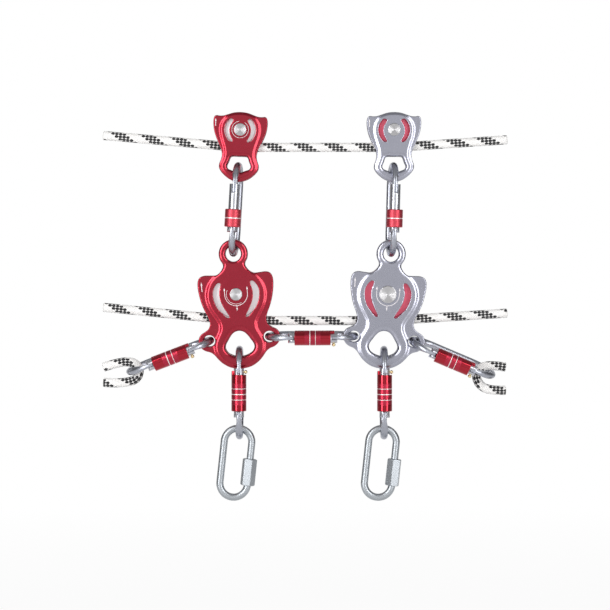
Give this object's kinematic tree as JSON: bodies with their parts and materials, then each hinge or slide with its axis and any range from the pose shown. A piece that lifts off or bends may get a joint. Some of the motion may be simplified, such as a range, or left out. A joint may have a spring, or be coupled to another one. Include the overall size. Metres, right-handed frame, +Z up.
{
  "type": "twin rope trolley",
  "caption": "Rope carriage: small pulleys on an upper rope, locking carabiners, large pulleys on a lower rope, a joining carabiner, haul carabiners with rope bights, and load links.",
  "frame": {"origin": "centre line of the upper rope, midway between the two small pulleys", "axes": "+X along the ropes towards the grey pulleys, +Y away from the viewer, +Z up"},
  "size_m": [0.478, 0.0652, 0.4584],
  "materials": {
    "red_anodised": "satin anodised",
    "grey_anodised": "satin anodised",
    "sheave_silver": "turned",
    "sheave_red": "anodised",
    "bush_brass": "plain",
    "axle_steel": "turned",
    "carabiner_steel": "polished",
    "sleeve_red": "anodised",
    "pin_steel": "plain",
    "latch_brass": "plain",
    "link_steel": "bright zinc",
    "rope": "braided, black tracer"
  },
  "bodies": {
    "carriage": {"red_small_front_cheek": "red_anodised", "red_small_back_cheek": "red_anodised", "red_small_axle": "axle_steel", "grey_small_front_cheek": "grey_anodised", "grey_small_back_cheek": "grey_anodised", "grey_small_axle": "axle_steel", "red_large_front_cheek": "red_anodised", "red_large_back_cheek": "red_anodised", "red_large_axle": "axle_steel", "grey_large_front_cheek": "grey_anodised", "grey_large_back_cheek": "grey_anodised", "grey_large_axle": "axle_steel", "red_upper_frame": "carabiner_steel", "grey_upper_frame": "carabiner_steel", "middle_frame": "carabiner_steel", "upper_rope": "rope", "lower_rope": "rope"},
    "red_small_wheel": {"red_small_sheave": "sheave_silver", "red_small_bush": "bush_brass"},
    "grey_small_wheel": {"grey_small_sheave": "sheave_red", "grey_small_bush": "bush_brass"},
    "red_large_wheel": {"red_large_sheave": "sheave_silver", "red_large_bush": "bush_brass"},
    "grey_large_wheel": {"grey_large_sheave": "sheave_red", "grey_large_bush": "bush_brass"},
    "left_haul": {"left_haul_frame": "carabiner_steel", "left_haul_rope": "rope"},
    "right_haul": {"right_haul_frame": "carabiner_steel", "right_haul_rope": "rope"},
    "red_load": {"red_load_frame": "carabiner_steel"},
    "grey_load": {"grey_load_frame": "carabiner_steel"},
    "red_link": {"red_link_body": "link_steel"},
    "red_nut": {"red_link_nut": "link_steel"},
    "grey_link": {"grey_link_body": "link_steel"},
    "grey_nut": {"grey_link_nut": "link_steel"},
    "red_upper_gate": {"red_upper_gate": "carabiner_steel", "red_upper_pins": "pin_steel"},
    "red_upper_lock": {"red_upper_sleeve": "sleeve_red"},
    "grey_upper_gate": {"grey_upper_gate": "carabiner_steel", "grey_upper_pins": "pin_steel"},
    "grey_upper_lock": {"grey_upper_sleeve": "sleeve_red"},
    "middle_gate": {"middle_gate": "carabiner_steel", "middle_pins": "latch_brass"},
    "middle_lock": {"middle_sleeve": "sleeve_red"},
    "left_haul_gate": {"left_haul_gate": "carabiner_steel", "left_haul_pins": "latch_brass"},
    "left_haul_lock": {"left_haul_sleeve": "sleeve_red"},
    "right_haul_gate": {"right_haul_gate": "carabiner_steel", "right_haul_pins": "latch_brass"},
    "right_haul_lock": {"right_haul_sleeve": "sleeve_red"},
    "red_load_gate": {"red_load_gate": "carabiner_steel", "red_load_pins": "latch_brass"},
    "red_load_lock": {"red_load_sleeve": "sleeve_red"},
    "grey_load_gate": {"grey_load_gate": "carabiner_steel", "grey_load_pins": "latch_brass"},
    "grey_load_lock": {"grey_load_sleeve": "sleeve_red"}
  },
  "joints": [
    {"name": "red_small_spin", "type": "hinge", "parent": "carriage", "child": "red_small_wheel", "pos_m": [-0.0905, 0, 0.0205], "axis": [0, 1, 0], "continuous": true},
    {"name": "grey_small_spin", "type": "hinge", "parent": "carriage", "child": "grey_small_wheel", "pos_m": [0.0905, 0, 0.0205], "axis": [0, 1, 0], "continuous": true},
    {"name": "red_large_spin", "type": "hinge", "parent": "carriage", "child": "red_large_wheel", "pos_m": [-0.09532, 0, -0.1731], "axis": [0, 1, 0], "continuous": true},
    {"name": "grey_large_spin", "type": "hinge", "parent": "carriage", "child": "grey_large_wheel", "pos_m": [0.08312, 0, -0.17326], "axis": [0, 1, 0], "continuous": true},
    {"name": "left_haul_swing", "type": "hinge", "parent": "carriage", "child": "left_haul", "pos_m": [-0.12677, 0, -0.22815], "axis": [0, 1, 0], "range_deg": [-45, 15]},
    {"name": "right_haul_swing", "type": "hinge", "parent": "carriage", "child": "right_haul", "pos_m": [0.1139, 0, -0.22869], "axis": [0, -1, 0], "range_deg": [-45, 15]},
    {"name": "red_load_swing", "type": "hinge", "parent": "carriage", "child": "red_load", "pos_m": [-0.09163, 0, -0.22337], "axis": [0, 1, 0], "range_deg": [-15, 25]},
    {"name": "red_link_swing", "type": "hinge", "parent": "red_load", "child": "red_link", "pos_m": [-0.09163, 0, -0.33158], "axis": [0.9945, 0, -0.1045], "range_deg": [-60, 60]},
    {"name": "red_nut_travel", "type": "slide", "parent": "red_link", "child": "red_nut", "axis": [0.1045, 0, 0.9945], "range_m": [0, 0.018]},
    {"name": "grey_load_swing", "type": "hinge", "parent": "carriage", "child": "grey_load", "pos_m": [0.07881, 0, -0.22348], "axis": [0, -1, 0], "range_deg": [-15, 25]},
    {"name": "grey_link_swing", "type": "hinge", "parent": "grey_load", "child": "grey_link", "pos_m": [0.07881, 0, -0.33169], "axis": [0.9945, 0, -0.1045], "range_deg": [-60, 60]},
    {"name": "grey_nut_travel", "type": "slide", "parent": "grey_link", "child": "grey_nut", "axis": [0.1045, 0, 0.9945], "range_m": [0, 0.018]},
    {"name": "red_upper_gate_hinge", "type": "hinge", "parent": "carriage", "child": "red_upper_gate", "pos_m": [-0.09935, -0.0257, -0.09464], "axis": [-0.9946, 0.0872, 0.0559], "range_deg": [0, 25], "stiffness_Nm_per_rad": 0.3, "springref_deg": -11.46},
    {"name": "red_upper_sleeve_travel", "type": "slide", "parent": "red_upper_gate", "child": "red_upper_lock", "axis": [0.0561, 0, 0.9984], "range_m": [0, 0.029]},
    {"name": "grey_upper_gate_hinge", "type": "hinge", "parent": "carriage", "child": "grey_upper_gate", "pos_m": [0.09026, -0.0257, -0.095], "axis": [-0.9958, -0.0872, 0.0271], "range_deg": [0, 25], "stiffness_Nm_per_rad": 0.3, "springref_deg": -11.46},
    {"name": "grey_upper_sleeve_travel", "type": "slide", "parent": "grey_upper_gate", "child": "grey_upper_lock", "axis": [0.0272, 0, 0.9996], "range_m": [0, 0.029]},
    {"name": "middle_gate_hinge", "type": "hinge", "parent": "carriage", "child": "middle_gate", "pos_m": [-0.0286, -0.02577, -0.224], "axis": [-0.0033, -0.0436, 0.999], "range_deg": [0, 25], "stiffness_Nm_per_rad": 0.3, "springref_deg": -11.46},
    {"name": "middle_sleeve_twist", "type": "hinge", "parent": "middle_gate", "child": "middle_lock", "pos_m": [-0.0064, -0.02577, -0.22393], "axis": [1, 0, 0.0033], "range_deg": [0, 90], "stiffness_Nm_per_rad": 0.01, "springref_deg": -17.19},
    {"name": "left_haul_gate_hinge", "type": "hinge", "parent": "left_haul", "child": "left_haul_gate", "pos_m": [-0.19347, -0.02576, -0.2552], "axis": [-0.3579, -0.0523, 0.9323], "range_deg": [0, 25], "stiffness_Nm_per_rad": 0.3, "springref_deg": -11.46},
    {"name": "left_haul_sleeve_twist", "type": "hinge", "parent": "left_haul_gate", "child": "left_haul_lock", "pos_m": [-0.17274, -0.02576, -0.24725], "axis": [0.9336, 0, 0.3584], "range_deg": [0, 90], "stiffness_Nm_per_rad": 0.01, "springref_deg": -17.19},
    {"name": "right_haul_gate_hinge", "type": "hinge", "parent": "right_haul", "child": "right_haul_gate", "pos_m": [0.13745, -0.02555, -0.24259], "axis": [0.3869, -0.1392, 0.9115], "range_deg": [0, 25], "stiffness_Nm_per_rad": 0.3, "springref_deg": -11.46},
    {"name": "right_haul_sleeve_twist", "type": "hinge", "parent": "right_haul_gate", "child": "right_haul_lock", "pos_m": [0.15788, -0.02555, -0.25126], "axis": [0.9205, 0, -0.3907], "range_deg": [0, 90], "stiffness_Nm_per_rad": 0.01, "springref_deg": -17.19},
    {"name": "red_load_gate_hinge", "type": "hinge", "parent": "red_load", "child": "red_load_gate", "pos_m": [-0.09163, -0.0258, -0.31148], "axis": [-1, 0, 0], "range_deg": [0, 25], "stiffness_Nm_per_rad": 0.3, "springref_deg": -11.46},
    {"name": "red_load_sleeve_twist", "type": "hinge", "parent": "red_load_gate", "child": "red_load_lock", "pos_m": [-0.09163, -0.0258, -0.28928], "axis": [0, 0, 1], "range_deg": [0, 90], "stiffness_Nm_per_rad": 0.01, "springref_deg": -17.19},
    {"name": "grey_load_gate_hinge", "type": "hinge", "parent": "grey_load", "child": "grey_load_gate", "pos_m": [0.07881, -0.0258, -0.31159], "axis": [-1, 0, 0], "range_deg": [0, 25], "stiffness_Nm_per_rad": 0.3, "springref_deg": -11.46},
    {"name": "grey_load_sleeve_twist", "type": "hinge", "parent": "grey_load_gate", "child": "grey_load_lock", "pos_m": [0.07881, -0.0258, -0.28939], "axis": [0, 0, 1], "range_deg": [0, 90], "stiffness_Nm_per_rad": 0.01, "springref_deg": -17.19}
  ]
}
